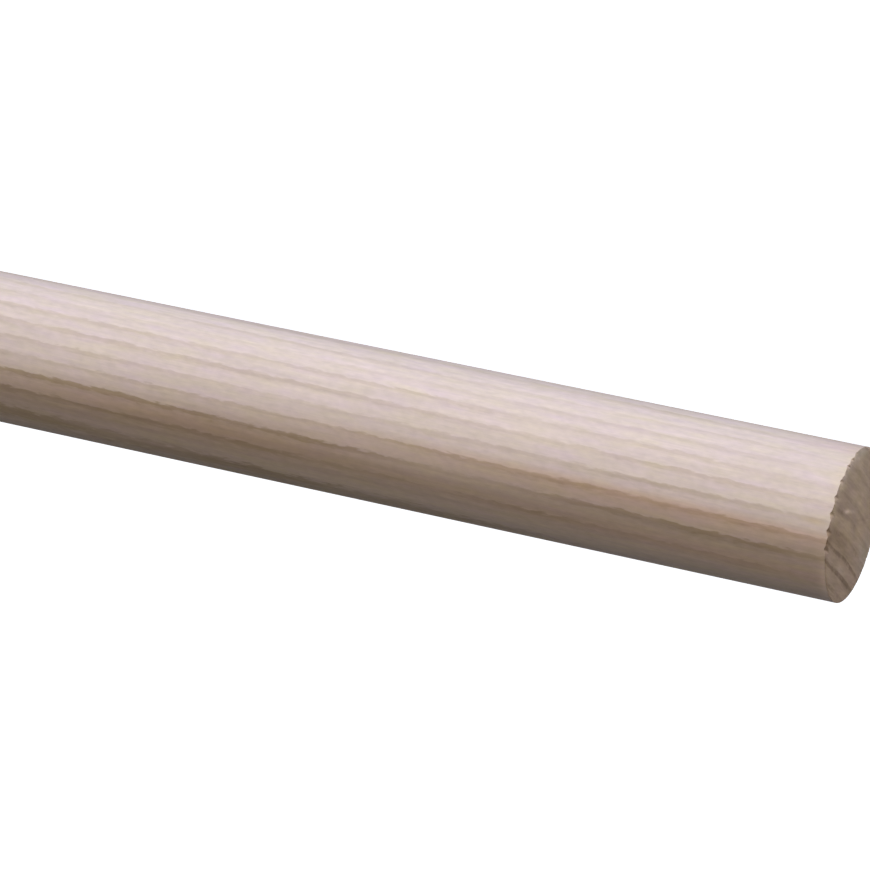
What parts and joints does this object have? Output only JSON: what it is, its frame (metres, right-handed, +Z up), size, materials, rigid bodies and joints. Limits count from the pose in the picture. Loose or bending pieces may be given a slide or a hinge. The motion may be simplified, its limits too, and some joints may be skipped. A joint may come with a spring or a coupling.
{
  "type": "wooden dowel rod",
  "caption": "Plain round softwood rod with straight grain, one sawn end and one clean square end, for pegs, rails, spindles and craft work.",
  "frame": {"origin": "centre of the clean lower end, on the surface that the rod stands on", "axes": "+Z up along the rod to the sawn end, -Y towards the side where the rim is nicked"},
  "size_m": [0.025, 0.025, 0.3],
  "materials": {
    "planed_softwood": "bare planed softwood, matt, with straight growth-ring lines; end grain darker and sawn"
  },
  "bodies": {
    "root": {"dowel_rod": "planed_softwood"}
  },
  "joints": []
}
